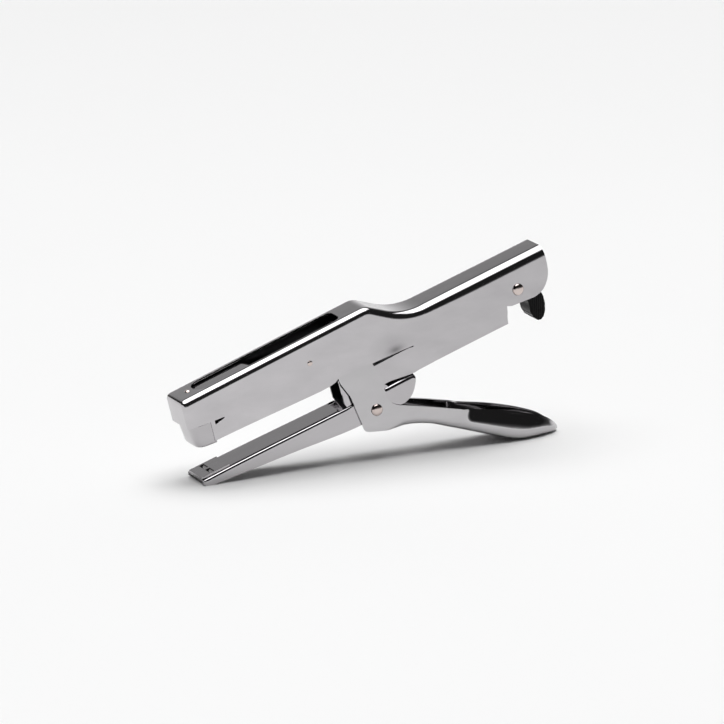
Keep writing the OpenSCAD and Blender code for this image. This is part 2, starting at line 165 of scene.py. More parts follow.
def remap(nt, fac, lo, hi, a=0.0, b=1.0):
    """The factor's run from a to b turned into a run from lo to hi."""
    m = nt.nodes.new("ShaderNodeMapRange")
    m.inputs["From Min"].default_value = a
    m.inputs["From Max"].default_value = b
    m.inputs["To Min"].default_value = lo
    m.inputs["To Max"].default_value = hi
    nt.links.new(fac, m.inputs["Value"])
    return m.outputs["Result"]


def ramp_color(nt, fac, lo, hi):
    """A colour that goes from lo to hi with the factor."""
    r = nt.nodes.new("ShaderNodeValToRGB")
    r.color_ramp.elements[0].color = (*lo, 1)
    r.color_ramp.elements[1].color = (*hi, 1)
    nt.links.new(fac, r.inputs["Fac"])
    return r.outputs["Color"]


def bump(nt, height, strength, distance, under=None):
    """A normal tipped by the height, on top of another one. The distance is in metres."""
    b = nt.nodes.new("ShaderNodeBump")
    b.inputs["Strength"].default_value = strength
    b.inputs["Distance"].default_value = distance
    nt.links.new(height, b.inputs["Height"])
    if under is not None:
        nt.links.new(under, b.inputs["Normal"])
    return b.outputs["Normal"]


# Which way the streaks of the plates run
ALONG_BODY = (0, TILT, 0)
ALONG_HANDLE = (0, -0.25, 0)
LEVEL = (0, 0, 0)


def plated(name, lo, hi, rough_lo, rough_hi, turn, streak=0.25):
    """Plate over drawn sheet: long faint streaks, slight waviness and smudged gloss."""
    mat, nt, sh = node_mat(name)
    along = coords(nt, (30, 900, 900), turn)
    fine = noise(nt, along, 1.0, 4, 0.6)
    wavy = noise(nt, coords(nt, (60, 60, 60), turn), 1.0, 2, 0.5)
    smudge = noise(nt, coords(nt, (45, 120, 120), turn), 1.0, 3, 0.6)
    nt.links.new(ramp_color(nt, smudge, lo, hi), sh.inputs["Base Color"])
    nt.links.new(remap(nt, smudge, rough_lo, rough_hi, 0.3, 0.7), sh.inputs["Roughness"])
    n1 = bump(nt, wavy, 0.12, 0.0006)
    n2 = bump(nt, fine, streak, 0.00003, n1)
    nt.links.new(n2, sh.inputs["Normal"])
    sh.inputs["Metallic"].default_value = 1.0
    return mat


def spot(nt, u, v, ru, rv):
    """A soft round patch in the body's frame, 1 in the middle and 0 outside."""
    tc = nt.nodes.new("ShaderNodeTexCoord")
    mp = nt.nodes.new("ShaderNodeMapping")
    mp.vector_type = "TEXTURE"
    at = body(u, 0, v)
    mp.inputs["Location"].default_value = (at.x, 0, at.z)
    mp.inputs["Rotation"].default_value = (0, -TILT, 0)
    mp.inputs["Scale"].default_value = (ru * MM, 0.05, rv * MM)
    nt.links.new(tc.outputs["Object"], mp.inputs["Vector"])
    gr = nt.nodes.new("ShaderNodeTexGradient")
    gr.gradient_type = "QUADRATIC_SPHERE"
    nt.links.new(mp.outputs["Vector"], gr.inputs["Vector"])
    return gr.outputs["Fac"]


def darken(nt, color, fac, lo, hi):
    """The colour times a grey that runs from lo to hi with the factor."""
    mix = nt.nodes.new("ShaderNodeVectorMath")
    mix.operation = "SCALE"
    nt.links.new(color, mix.inputs[0])
    nt.links.new(remap(nt, fac, lo, hi), mix.inputs["Scale"])
    return mix.outputs["Vector"]


def head_chrome():
    """The head's plate: painted shade over a dent above the cheek slot, and colour that darkens
    toward the rear end.
    """
    mat = plated("chrome_head", (0.45, 0.435, 0.449), (0.6, 0.586, 0.6), 0.07, 0.14, ALONG_BODY)
    nt = mat.node_tree
    sh = nt.nodes["Principled BSDF"]
    color = sh.inputs["Base Color"].links[0].from_socket
    under = sh.inputs["Normal"].links[0].from_socket
    tc = nt.nodes.new("ShaderNodeTexCoord")
    sep = nt.nodes.new("ShaderNodeSeparateXYZ")
    nt.links.new(tc.outputs["Object"], sep.inputs[0])
    # Darker all along, toward the rear end
    reach = remap(nt, sep.outputs["X"], 0.0, 1.0, stand(20, 0, 0).x, stand(140, 0, 0).x)
    color = darken(nt, color, reach, 1.0, 0.87)
    # The dent: painted shade, dark in a core and fainter over a wider hollow that also tips the
    # normal
    dent_shade_core = spot(nt, 95.5, 7.0, 7.0, 3.4)
    hollow_bump_and_shade = spot(nt, 94, 9, 14, 9)
    color = darken(nt, color, dent_shade_core, 1.0, 0.25)
    color = darken(nt, color, hollow_bump_and_shade, 1.0, 0.8)
    nt.links.new(color, sh.inputs["Base Color"])
    nt.links.new(bump(nt, hollow_bump_and_shade, 1.0, 0.0006, under), sh.inputs["Normal"])
    return mat


CHROME_HEAD = head_chrome()
CHROME = plated("chrome_sheet", (0.41, 0.396, 0.409), (0.55, 0.537, 0.55),
                0.07, 0.14, ALONG_BODY)
CHROME_ARM = plated("chrome_arm", (0.43, 0.415, 0.428), (0.51, 0.497, 0.51),
                    0.06, 0.13, ALONG_BODY)
CHROME_GRIP = plated("chrome_grip", (0.44, 0.43, 0.44), (0.53, 0.52, 0.53),
                     0.05, 0.11, ALONG_HANDLE, 0.15)
NICKEL = plated("nickel_rivet", (0.56, 0.47, 0.44), (0.66, 0.58, 0.55),
                0.08, 0.16, LEVEL, 0.1)
# Near-black for the shell's inside and for the magazine and rail seen through its openings: painted
# shade for the dark inside the body
PAINTED_SHADE_DARK = plated("painted_shade_dark", (0.035, 0.035, 0.037), (0.06, 0.06, 0.063),
              0.25, 0.42, ALONG_BODY, 0.4)
# Near-black on the handle's rounded cut edges: painted shade that draws dark lines along them
EDGE_PAINTED_SHADE = plated("edge_painted_shade", (0.06, 0.055, 0.055), (0.12, 0.11, 0.11),
                 0.3, 0.5, ALONG_BODY, 0.4)
INNER = plated("inner_steel", (0.24, 0.24, 0.25), (0.34, 0.34, 0.35),
               0.25, 0.42, ALONG_BODY, 0.4)
SPRING = plated("spring_wire", (0.32, 0.32, 0.33), (0.46, 0.46, 0.48),
                0.18, 0.3, LEVEL, 0.3)
STAPLE = plated("staple_wire", (0.42, 0.43, 0.45), (0.56, 0.57, 0.59),
                0.2, 0.32, ALONG_BODY, 0.5)


def latch_black():
    """Glossy black with fine ribs across the thumb face."""
    mat, nt, sh = node_mat("latch_black")
    n = noise(nt, coords(nt, (300, 300, 300)), 1.0, 3)
    color = ramp_color(nt, n, (0.004, 0.004, 0.0045), (0.009, 0.0085, 0.009))
    nt.links.new(color, sh.inputs["Base Color"])
    nt.links.new(remap(nt, n, 0.22, 0.36, 0.3, 0.7), sh.inputs["Roughness"])
    ribs = nt.nodes.new("ShaderNodeTexWave")
    ribs.wave_profile = "SIN"
    ribs.bands_direction = "X"
    ribs.inputs["Scale"].default_value = 0.32
    ribs.inputs["Distortion"].default_value = 0.0
    nt.links.new(coords(nt, (1000, 1000, 1000)), ribs.inputs["Vector"])
    n1 = bump(nt, ribs.outputs["Fac"], 0.6, 0.0003)
    nt.links.new(bump(nt, n, 0.2, 0.0001, n1), sh.inputs["Normal"])
    sh.inputs["Specular IOR Level"].default_value = 0.06
    return mat


LATCH = latch_black()


# ---------------------------------------------------------------- upper body
# Height of the head's top at the nose, mm, and its rise toward the peak
NOSE_H = 20.9
HEAD_RISE = math.radians(5.2)
# Fall behind the peak, and the rise of the palm grip behind the dip
FALL = math.radians(31)
TAIL_RISE = math.radians(4.6)
# Rear end of the body and the height of its top there, mm
TAIL_U, TAIL_V = 170, 24.4


def head_top(u):
    """Height of the head's straight top over the body's line."""
    return NOSE_H + math.tan(HEAD_RISE) * u


def tail_top(u):
    """Height of the palm grip's straight top over the body's line."""
    return TAIL_V + math.tan(TAIL_RISE) * (u - TAIL_U)


# Corners where the three straight lines of the top would meet, and the bends' radii, mm
PEAK_U = 87.9
PEAK_V = head_top(PEAK_U)
DIP_U = ((PEAK_V + math.tan(FALL) * PEAK_U - TAIL_V + math.tan(TAIL_RISE) * TAIL_U)
         / (math.tan(FALL) + math.tan(TAIL_RISE)))
DIP_V = tail_top(DIP_U)
PEAK_R, DIP_R = 7.0, 28.0


def top_path():
    """Points (u, v) round the peak and the dip of the folded top."""
    pts = []
    run = PEAK_R * math.tan((HEAD_RISE + FALL) / 2)
    cu = PEAK_U - run * math.cos(HEAD_RISE) + PEAK_R * math.sin(HEAD_RISE)
    cv = PEAK_V - run * math.sin(HEAD_RISE) - PEAK_R * math.cos(HEAD_RISE)
    for i in range(13):
        a = math.radians(90) + HEAD_RISE - (HEAD_RISE + FALL) * i / 12
        pts.append((cu + PEAK_R * math.cos(a), cv + PEAK_R * math.sin(a)))
    run = DIP_R * math.tan((TAIL_RISE + FALL) / 2)
    cu = DIP_U + run * math.cos(TAIL_RISE) - DIP_R * math.sin(TAIL_RISE)
    cv = DIP_V + run * math.sin(TAIL_RISE) + DIP_R * math.cos(TAIL_RISE)
    for i in range(19):
        a = math.radians(270) - FALL + (TAIL_RISE + FALL) * i / 18
        pts.append((cu + DIP_R * math.cos(a), cv + DIP_R * math.sin(a)))
    return pts


def edge_radius(u):
    """The rounding of the head's top edges, fuller along the palm grip."""
    return 2.9 + 1.8 * min(max((u - 92) / 50, 0), 1)


# Window in the head's top: its front, where it is full wide, where it starts to round, its rear
WINDOW_FRONT, WINDOW_WIDE, WINDOW_ROUND, WINDOW_REAR = 9.2, 13.0, 74.4, 76.8
# Half widths of the window, along it and at its front tip
WINDOW_HALF, TIP_HALF = 5.2, 1.8
# How far the apron sits inside the cheek, and how far its fold drops
APRON_IN, APRON_DROP = 0.3, 0.5
# Half the distance between the pivot ears' outer faces, and where the joggle meets them, mm
EAR_HALF = 5.89
EAR_REAR = 91.5
# Lower edge of the side wall, from the foot of the nose along the slot to the crease
WALL_EDGE = [(0, 9), (9.9, 8.6), (11.7, 8.6), (16.2, 8.6), (16.2, 8.2), (16.2, 0.7), (26, 1.2),
             (45, 2.0), (59, 2.6), (64, 3.1), (66.4, 3.7), (67.8, 4.6), (68.6, 5.1), (84.4, 5.3),
             (90, 5.5), (96, 5.6), (101, 5.65)]
# The tongue that hangs behind the nose, beside the relief slit
TONGUE = [(9.9, 8.6), (9.9, 0.3), (16.2, 0.7), (16.2, 8.2), (11.7, 6.9), (11.7, 8.6)]
# Crease where the apron starts, and the apron's lower edge
CREASE = [(103.6, 5.7), (114, 5.85), (142.4, 6.0), (148.3, 5.9)]
APRON_EDGE = [(103.6, -5.3), (113.7, -4.3), (142.4, -2.0), (147.0, -1.7), (147.4, 1.4),
              (148.0, 3.6)]
# Rear end of the side wall, up to its top
REAR_EDGE = [(150.4, 5.2), (161.4, 5.1), (164, 5.8), (165.8, 6.9), (167.3, 8.4), (168.5, 10.2),
             (169.3, 12), (169.8, 14), (170, 16.5)]
# The joggle from the apron in to the ears: u, half width, top and foot
JOGGLE = [(103.6, HALF_W - APRON_IN, 5.2, -5.3), (101.6, HALF_W - APRON_IN - 0.25, 5.2, -5.8),
          (99.4, HALF_W - APRON_IN - 0.75, 4.9, -6.05), (96.4, EAR_HALF + 0.8, 4.2, -6.2),
          (94, EAR_HALF + 0.3, 3.7, -6.25), (EAR_REAR, EAR_HALF, 3.3, -6.2)]
# Outline of a pivot ear, with its notch over the main rivet
EAR = [(EAR_REAR, 3.3), (84.4, 2.6), (69.0, 2.6), (69.2, -8), (73, -16), (76.6, -18.2),
       (78.1, -15), (77.4, -12.5), (78.3, -10.2), (80.7, -9.2), (83, -10.1), (84.1, -12.5),
       (84.9, -15), (85.4, -17.2), (87, -15.5), (88.4, -6.4), (EAR_REAR, -6.2)]
# Largest rounding of the top's edges, and the rounding of the front wall's edges, mm
BIGGEST_EDGE, FRONT_EDGE = 4.8, 1.9


def body_top(face, lead, bends, tail):
    """The folded top: strips beside the window, then bands right across."""
    w = HALF_W
    nose, front, wide, turn, end = lead
    tip = [(front[0], TIP_HALF), (front[0] + 0.9, 3.3), (front[0] + 2.1, 4.5),
           (wide[0], WINDOW_HALF)]
    for s in (1, -1):
        face([(front[0], s * w, front[1]), (wide[0], s * w, wide[1])]
             + [(u, s * y, head_top(u)) for u, y in reversed(tip)])
        face([(wide[0], s * w, wide[1]), (turn[0], s * w, turn[1]),
              (turn[0], s * WINDOW_HALF, turn[1]), (wide[0], s * WINDOW_HALF, wide[1])])
        face([(turn[0], s * w, turn[1]), (end[0], s * w, end[1]), (end[0], s * 3.2, end[1]),
              (turn[0] + 1.4, s * 4.7, head_top(turn[0] + 1.4)),
              (turn[0], s * WINDOW_HALF, turn[1])])
    face([(nose[0], -w, nose[1]), (nose[0], w, nose[1]), (front[0], w, front[1]),
          (front[0], TIP_HALF, front[1]), (front[0], -TIP_HALF, front[1]),
          (front[0], -w, front[1])])
    first = bends[0]
    face([(end[0], -w, end[1]), (end[0], -3.2, end[1]), (end[0], 3.2, end[1]),
          (end[0], w, end[1]), (first[0], w, first[1]), (first[0], -w, first[1])])
    rest = bends + tail
    for a, b in zip(rest, rest[1:]):
        face([(a[0], -w, a[1]), (a[0], w, a[1]), (b[0], w, b[1]), (b[0], -w, b[1])])


def body_sides(face, path):
    """Both side walls with their relief slits, aprons, joggles and pivot ears."""
    w = HALF_W
    sunk = w - APRON_IN
    for s in (1, -1):
        face([(u, s * w, v) for u, v in WALL_EDGE + CREASE + REAR_EDGE + list(reversed(path))])
        face([(u, s * w, v) for u, v in TONGUE])
        for a, b in zip(CREASE, CREASE[1:]):
            face([(a[0], s * w, a[1]), (b[0], s * w, b[1]),
                  (b[0], s * sunk, b[1] - APRON_DROP), (a[0], s * sunk, a[1] - APRON_DROP)])
        face([(u, s * sunk, v - APRON_DROP) for u, v in CREASE]
             + [(u, s * sunk, v) for u, v in reversed(APRON_EDGE)])
        for a, b in zip(JOGGLE, JOGGLE[1:]):
            face([(a[0], s * a[1], a[2]), (b[0], s * b[1], b[2]),
                  (b[0], s * b[1], b[3]), (a[0], s * a[1], a[3])])
        face([(u, s * EAR_HALF, v) for u, v in EAR])


def round_body_edges(bm, weight, places):
    """Bevel weights along both sides of the top and round the front wall."""
    for e in bm.edges:
        if len(e.link_faces) != 2:
            continue
        (ua, ya, va), (ub, yb, vb) = [k for k, vert in places.items() if vert in e.verts]
        if e.calc_face_angle(0) < 0.6 or min(va, vb) < 8.9:
            continue
        if ua == ub == 0:
            e[weight] = FRONT_EDGE / BIGGEST_EDGE
        elif ya == yb and abs(ya) == HALF_W:
            e[weight] = edge_radius((ua + ub) / 2) / BIGGEST_EDGE


def build_body():
    """The folded chrome shell of the head and palm grip, with painted shade on its inside."""
    bm = bmesh.new()
    weight = bm.edges.layers.float.new("bevel_weight_edge")
    places = {}

    def vert(u, y, v):
        key = (round(u, 3), round(y, 3), round(v, 3))
        if key not in places:
            places[key] = bm.verts.new(body(u, y, v))
        return places[key]

    def face(points):
        vs = []
        for p in points:
            new = vert(*p)
            if not vs or vs[-1] is not new:
                vs.append(new)
        return bm.faces.new(vs)

    lead = [(0, NOSE_H)]
    for u in (WINDOW_FRONT, WINDOW_WIDE, WINDOW_ROUND, WINDOW_REAR):
        lead.append((u, head_top(u)))
    bends = top_path()
    tail = [(u, tail_top(u)) for u in (122, 134, 146, 158, TAIL_U)]
    body_top(face, lead, bends, tail)
    face([(0, -HALF_W, NOSE_H), (0, HALF_W, NOSE_H), (0, HALF_W, 9), (0, -HALF_W, 9)])
    body_sides(face, lead + bends + tail)
    bmesh.ops.recalc_face_normals(bm, faces=bm.faces)
    round_body_edges(bm, weight, places)

    ob = mesh_object("upper_body_shell", bm)
    bevel(ob, BIGGEST_EDGE, 10, weights=True)
    # The inner faces take the second material, near-black painted shade
    solidify(ob).material_offset = 1
    bevel(ob, CUT_EDGE, 2, 50)
    weighted(ob)
    ob.data.materials.append(CHROME_HEAD)
    ob.data.materials.append(PAINTED_SHADE_DARK)
    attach(ob, "body")
    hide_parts("upper_body")


build_body()


def build_nose():
    """The nose guide: a strip bent to a rounded U that hangs below the head's front."""
    # Each row's height, front and half width, where the sides end and how deep the bend is, mm
    rows = [(8.75, 1.3, 8.36), (8.3, 1.35, 8.38), (4, 1.8, 8.38), (0.2, 2.15, 8.36),
            (-0.4, 2.35, 8.2), (-0.75, 2.6, 7.8)]
    back, depth, steps = 10.7, 6.2, 20
    bm = bmesh.new()
    cols = []
    for v, front, hw in rows:
        ring = []
        for i in range(-steps, steps + 1):
            y = math.sin(math.radians(90) * i / steps)
            ring.append((front + depth * (1 - (1 - abs(y) ** 4) ** (1 / 4)), hw * y, v))
        ring = [(back, -hw, v)] + ring + [(back, hw, v)]
        cols.append([bm.verts.new(body(*p)) for p in ring])
    for a, b in zip(cols, cols[1:]):
        for i in range(len(a) - 1):
            bm.faces.new([a[i], a[i + 1], b[i + 1], b[i]])
    ob = mesh_object("nose_guide_shell", bm)
    solidify(ob, 0.7)
    bevel(ob, CUT_EDGE, 2, 60)
    ob.data.materials.append(CHROME_ARM)
    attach(ob, "body")
    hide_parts("nose_guide")


build_nose()


# ---------------------------------------------------------------- channels
def spline(points):
    """A smooth function through the points, held flat past its ends."""
    xs = [p[0] for p in points]
    ys = [p[1] for p in points]
    slopes = []
    n = len(xs)
    d = [(ys[i + 1] - ys[i]) / (xs[i + 1] - xs[i]) for i in range(n - 1)]
    for i in range(n):
        if i == 0 or i == n - 1:
            slopes.append(d[0] if i == 0 else d[-1])
        elif d[i - 1] * d[i] <= 0:
            slopes.append(0.0)
        else:
            slopes.append(2 * d[i - 1] * d[i] / (d[i - 1] + d[i]))

    def f(x):
        if x <= xs[0]:
            return ys[0]
        if x >= xs[-1]:
            return ys[-1]
        i = max(j for j in range(n - 1) if xs[j] <= x)
        h = xs[i + 1] - xs[i]
        t = (x - xs[i]) / h
        return ((2 * t ** 3 - 3 * t ** 2 + 1) * ys[i] + (t ** 3 - 2 * t ** 2 + t) * h * slopes[i]
                + (-2 * t ** 3 + 3 * t ** 2) * ys[i + 1] + (t ** 3 - t ** 2) * h * slopes[i + 1])

    return f


def channel(name, stations, section, keep):
    """A skin of rows and columns.

    section(x) gives a column's points (y, z), and keep(x0, x1, row) says if a cell is there.
    """
    bm = bmesh.new()
    cols = []
    for x in stations:
        cols.append([bm.verts.new(stand(x, y, z)) for y, z in section(x)])
    rows = len(cols[0])
    for i in range(len(cols) - 1):
        for j in range(rows - 1):
            if keep(stations[i], stations[i + 1], j):
                bm.faces.new([cols[i][j], cols[i + 1][j], cols[i + 1][j + 1], cols[i][j + 1]])
    bmesh.ops.delete(bm, geom=[v for v in bm.verts if not v.link_faces], context="VERTS")
    bmesh.ops.remove_doubles(bm, verts=bm.verts, dist=1e-7)
    return mesh_object(name, bm)


# Anvil arm: heights of its top and of its lower edge along the ground, mm
ARM_TOP = spline([(-1.9, 2.3), (0, 3.04), (65.9, 25.3), (80.2, 30.35), (91.5, 34.35),
                  (93.1, 34.85), (93.9, 34.7), (94.35, 33.8)])
ARM_LOW = spline([(-1.9, 1.0), (-1.2, 0.3), (0, 0.02), (1.6, 0.0), (3, 0.2), (14.3, 2.8),
                  (41.3, 9.3), (59.4, 13.3), (68.5, 15.8), (80, 20.2), (86, 22.3), (89, 22.9),
                  (91.2, 24.3), (92.8, 26.2), (93.8, 28.6), (94.35, 31.4)])
# Steps up the side, round the rolled edge and half way across the top
ARM_SIDE, ARM_ARC, ARM_FLAT = 8, 9, 5
ARM_ROWS = 2 * (ARM_SIDE + 1 + ARM_ARC + ARM_FLAT) - 2
# Columns, closer together where the outline turns
ARM_X = (frange(-1.9, 3, 14) + frange(3, 60, 60)[1:] + frange(60, 90, 40)[1:]
         + frange(90, 94.35, 24)[1:])


def arm_section(x):
    """Half of the inverted U from its lower edge up and over, then the other half."""
    hw = 7.65 - 0.84 * min(max((x + 2) / 58, 0), 1)
    top, low = ARM_TOP(x), ARM_LOW(x)
    roll = 1.45 - 0.55 * smooth_step(x, 63, 66) + 1.2 * smooth_step(x, 79.5, 81)
    r = min(roll, max((top - low) * 0.45, 0.05))
    half = [(-hw, low + (top - r - low) * t) for t in frange(0, 1, ARM_SIDE)]
    for a in frange(0, math.pi / 2, ARM_ARC)[1:]:
        half.append((-hw + r - r * math.cos(a), top - r + r * math.sin(a)))
    for t in frange(0, 1, ARM_FLAT)[1:]:
        half.append((-(hw - r) * (1 - t), top))
    return half + [(-y, z) for y, z in reversed(half[:-1])]


def arm_keep(x0, x1, j):
    """All but the opening in the arm's top, where the handle comes through."""
    row = min(j, ARM_ROWS - 1 - j)
    return row < ARM_SIDE + 5 or not 60 < (x0 + x1) / 2 < 82.8


def build_arm():
    """The anvil arm, an inverted channel that lies along the ground in front."""
    ob = channel("anvil_arm_shell", ARM_X, arm_section, arm_keep)
    solidify(ob)
    bevel(ob, CUT_EDGE, 2, 50)
    weighted(ob)
    ob.data.materials.append(CHROME_ARM)
    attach(ob, "arm_body")
    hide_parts("anvil_arm")


build_arm()

# Lower handle: its lower edge, its upper edge and its half width along the ground, mm
LOW = spline([(58, 40), (60.1, 34.7), (62.6, 31.2), (64.6, 28.4), (65.6, 25.9), (69.5, 16.8),
              (70.6, 14.2), (71.3, 13.4), (73, 13.0), (76, 12.8), (81.7, 12.6), (86.3, 12.8),
              (93.2, 13.3), (100.1, 12.7), (109.3, 10.2), (123.2, 5.9), (132.5, 2.9),
              (139, 0.95), (144, 0.1), (148, 0.02), (156, 0.2), (160, 0.4), (163.4, 0.9)])
HIGH = spline([(58, 52), (60.2, 57.2), (62.6, 59.2), (66, 59.3), (68.2, 57.8), (69.8, 54.3),
               (70.6, 50), (74.1, 41.8), (76.6, 38.5), (78.5, 34.5), (79.8, 29.6),
               (80.9, 26.6), (82.6, 24.5), (85.2, 23.1), (88.5, 22.2), (95.4, 20.9),
               (104.6, 19.3), (116.2, 17), (132.5, 14.4), (144, 11.8), (152, 9.4), (156, 7.9),
               (159.3, 5.9), (161.8, 3.9), (163.4, 2.3)])
WIDE = spline([(58, 7.73), (92, 7.73), (112, 8.6), (124, 8.65), (138, 8.6), (146, 8.2),
               (152, 7.2), (157, 5.5), (161, 3.4), (163.4, 1.2)])
# Steps down the wall, round the lower edge and half way across the floor
WALL_ROWS, ARC_ROWS, FLOOR_ROWS = 12, 9, 4
HANDLE_ROWS = 2 * (WALL_ROWS + 1 + ARC_ROWS + FLOOR_ROWS) - 2
# Where the floor of the channel starts
FLOOR_FROM = 79.6
HANDLE_X = (frange(58, 60.1, 5) + frange(60.1, 71.3, 40)[1:] + frange(71.3, 88, 50)[1:]
            + frange(88, 115, 40)[1:] + frange(115, 121, 20)[1:] + frange(121, 150, 50)[1:]
            + frange(150, 163.4, 44)[1:])


def handle_section(x):
    """Half of the open channel from its upper edge down and across, then the other half."""
    hw, low, high = WIDE(x), LOW(x), HIGH(x)
    depth = high - low
    floor = smooth_step(x, 79.5, 90)
    r = max(min(3.2, depth * 0.35, hw * 0.5) * floor, 0.02)
    swell = 2.3 * smooth_step(x, 115.5, 120) * min(depth / 11.0, 1.0)
    half = []
    for t in reversed(frange(0, 1, WALL_ROWS)):
        z = low + r + (depth - r) * t
        y = hw - swell * smooth_step(t, 0.05, 1.25) * 1.15
        half.append((-y, z))
    for a in frange(0, math.pi / 2, ARC_ROWS)[1:]:
        half.append((-(hw - r + r * math.cos(a)), low + r - r * math.sin(a)))
    for t in frange(0, 1, FLOOR_ROWS)[1:]:
        half.append((-(hw - r) * (1 - t), low))
    return half + [(-y, z) for y, z in reversed(half[:-1])]


def handle_keep(x0, x1, j):
    """Both walls all the way, and the floor only behind the ears."""
    row = min(j, HANDLE_ROWS - 1 - j)
    return row < WALL_ROWS or x1 > FLOOR_FROM


def build_handle():
    """The lower handle, a channel open at the top, its rounded edges painted dark as shade lines.
    """
    ob = channel("lower_handle_shell", HANDLE_X, handle_section, handle_keep)
    solidify(ob)
    # The rounded edges take the second material, the painted shade lines
    bevel(ob, 0.2, 2, 50).material = 1
    weighted(ob)
    ob.data.materials.append(CHROME_GRIP)
    ob.data.materials.append(EDGE_PAINTED_SHADE)
    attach(ob, "handle_body")
    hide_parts("lower_handle")


build_handle()


# ---------------------------------------------------------------- small parts
def dome_rivet(name, at, reach, d, h, body_name, node, foot=0.12):
    """Two low domes on one line across the tool.

    reach is the half distance between their seats, d and h are the diameter and the height
    of a dome and foot the height of its straight side, all in mm.
    """
    bm = bmesh.new()
    prof = [(0.35 * d, 0.0)]
    for i in range(13):
        a = math.pi / 2 * i / 12
        prof.append((d / 2 * math.cos(a), foot + (h - foot) * math.sin(a)))
    n = 48
    for s in (1, -1):
        rings = []
        for r, z in prof:
            y = s * (reach + z) * MM
            if r < 1e-6:
                rings.append([bm.verts.new(at + Vector((0, y, 0)))])
                continue
            ring = []
            for i in range(n):
                a = 2 * math.pi * i / n
                out = Vector((r * MM * math.cos(a), y, r * MM * math.sin(a)))
                ring.append(bm.verts.new(at + out))
            rings.append(ring)
        for a, b in zip(rings, rings[1:]):
            for i in range(n):
                j = (i + 1) % n
                if len(b) == 1:
                    bm.faces.new([a[i], a[j], b[0]])
                else:
                    bm.faces.new([a[i], a[j], b[j], b[i]])
        bm.faces.new(rings[0])
    ob = mesh_object(name, bm)
    ob.data.materials.append(NICKEL)
    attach(ob, body_name)
    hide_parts(node)


# Middles of the rivets: the first as it stands, the other two in the body's frame
MAIN_RIVET = stand(76.2, 0, 22.0)
REAR_RIVET = body(154.7, 0, 11)
HEAD_RIVET = body(57.7, 0, 15.9)
dome_rivet("main_rivet_heads", MAIN_RIVET, 7.85, 5.0, 1.2, "arm_body", "main_rivet")
dome_rivet("rear_rivet_heads", REAR_RIVET, HALF_W, 5.0, 1.3, "body", "rear_rivet")
dome_rivet("head_rivet_heads", HEAD_RIVET, HALF_W, 2.3, 0.4, "body", "head_rivets", 0.05)


def slab(name, outline, half, mat, body_name, node, round_edge, steps=3):
    """A piece with one outline in the body's frame, the same right across."""
    bm = bmesh.new()
    a = [bm.verts.new(body(u, -half, v)) for u, v in outline]
    b = [bm.verts.new(body(u, half, v)) for u, v in outline]
    bm.faces.new(a)
    bm.faces.new(list(reversed(b)))
    n = len(outline)
    for i in range(n):
        j = (i + 1) % n
        bm.faces.new([a[j], a[i], b[i], b[j]])
    ob = mesh_object(name, bm)
    bevel(ob, round_edge, steps, 50)
    weighted(ob)
    ob.data.materials.append(mat)
    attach(ob, body_name)
    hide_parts(node)


LEVER = [(6.4, 17.7), (6.4, 20.1), (12, 20.75), (33, 22.6), (35.5, 22.2), (39.5, 19.9),
         (55, 19.5), (61, 20.1), (66, 20.4), (72, 20.3), (79, 20.0), (93, 20.1), (95, 19.2),
         (95.4, 17.5), (95, 15.8), (93, 15), (86, 14.6), (80, 14.2), (60, 15.2), (40, 16.2),
         (20, 17.1)]
THUMB_PIECE = [(151.6, 12.5), (151.8, 9.6), (153.4, 7.8), (157.6, 6.4), (159.6, 4.6),
               (159.8, 1), (159.7, -2.5), (160.6, -5.2), (162.2, -7), (163.6, -7.2),
               (165, -6.4), (166.3, -4.2), (167, -1), (167, 2.4), (165.6, 7), (162, 12),
               (158, 14.4), (154.6, 14.6), (152.6, 14)]
slab("driver_lever_plate", LEVER, 4.4, CHROME,
     "driver_lever_body", "driver_lever", 0.5)
slab("latch_thumb_piece", THUMB_PIECE, 4.8, LATCH,
     "latch_body", "latch", 0.6, 4)


def helix(name, start, end, radius, wire, turns):
    """A wire wound round the line from start to end. radius and wire are radii in mm."""
    axis = (end - start).normalized()
    across = Vector((0, 1, 0))
    up = axis.cross(across)
    steps, sides = 24 * turns, 8
    bm = bmesh.new()
    rings = []
    for i in range(steps + 1):
        t = i / steps
        a = 2 * math.pi * turns * t
        out = across * math.cos(a) + up * math.sin(a)
        mid = start.lerp(end, t) + out * radius * MM
        rings.append([bm.verts.new(mid + (out * math.cos(b) + axis * math.sin(b)) * wire * MM)
                      for b in frange(0, 2 * math.pi, sides)[:-1]])
    for a, b in zip(rings, rings[1:]):
        for i in range(sides):
            j = (i + 1) % sides
            bm.faces.new([a[i], a[j], b[j], b[i]])
    bm.faces.new(rings[0])
    bm.faces.new(rings[-1])
    return mesh_object(name, bm)


# The pusher's spring: its two ends along the track and its height over it
SPRING_FROM, SPRING_TO, ROD_V = 62.0, 139.3, 4.3


def build_pusher_spring():
    """A coil wound round the rod from one end of the spring to the other."""
    start, end = track(SPRING_FROM, ROD_V), track(SPRING_TO, ROD_V)
    ob = helix("pusher_spring_coil", start, end, 1.65, 0.33, 26)
    ob.data.materials.append(SPRING)
    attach(ob, "body")
    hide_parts("pusher_spring")
    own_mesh(ob)


build_pusher_spring()

# Materials of the frame's own nodes that no visual piece replaces
NODE_MATS = {
    "magazine": PAINTED_SHADE_DARK,
    "core_rail": PAINTED_SHADE_DARK,
    "staple_strip": STAPLE,
    "spring_seat": INNER,
    "pusher_rod": INNER,
    "pusher": INNER,
    "nose_rivet": NICKEL,
    "driver_pin": INNER,
    "driver_spring": SPRING,
    "driver_blade": INNER,
    "anvil_plate": CHROME_ARM,
    "spacer_bush": INNER,
    "handle_spring": SPRING,
    "squeeze_pin": INNER,
    "squeeze_roller": INNER,
}
for node, mat in NODE_MATS.items():
    for material_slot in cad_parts[node].material_slots:
        material_slot.material = mat


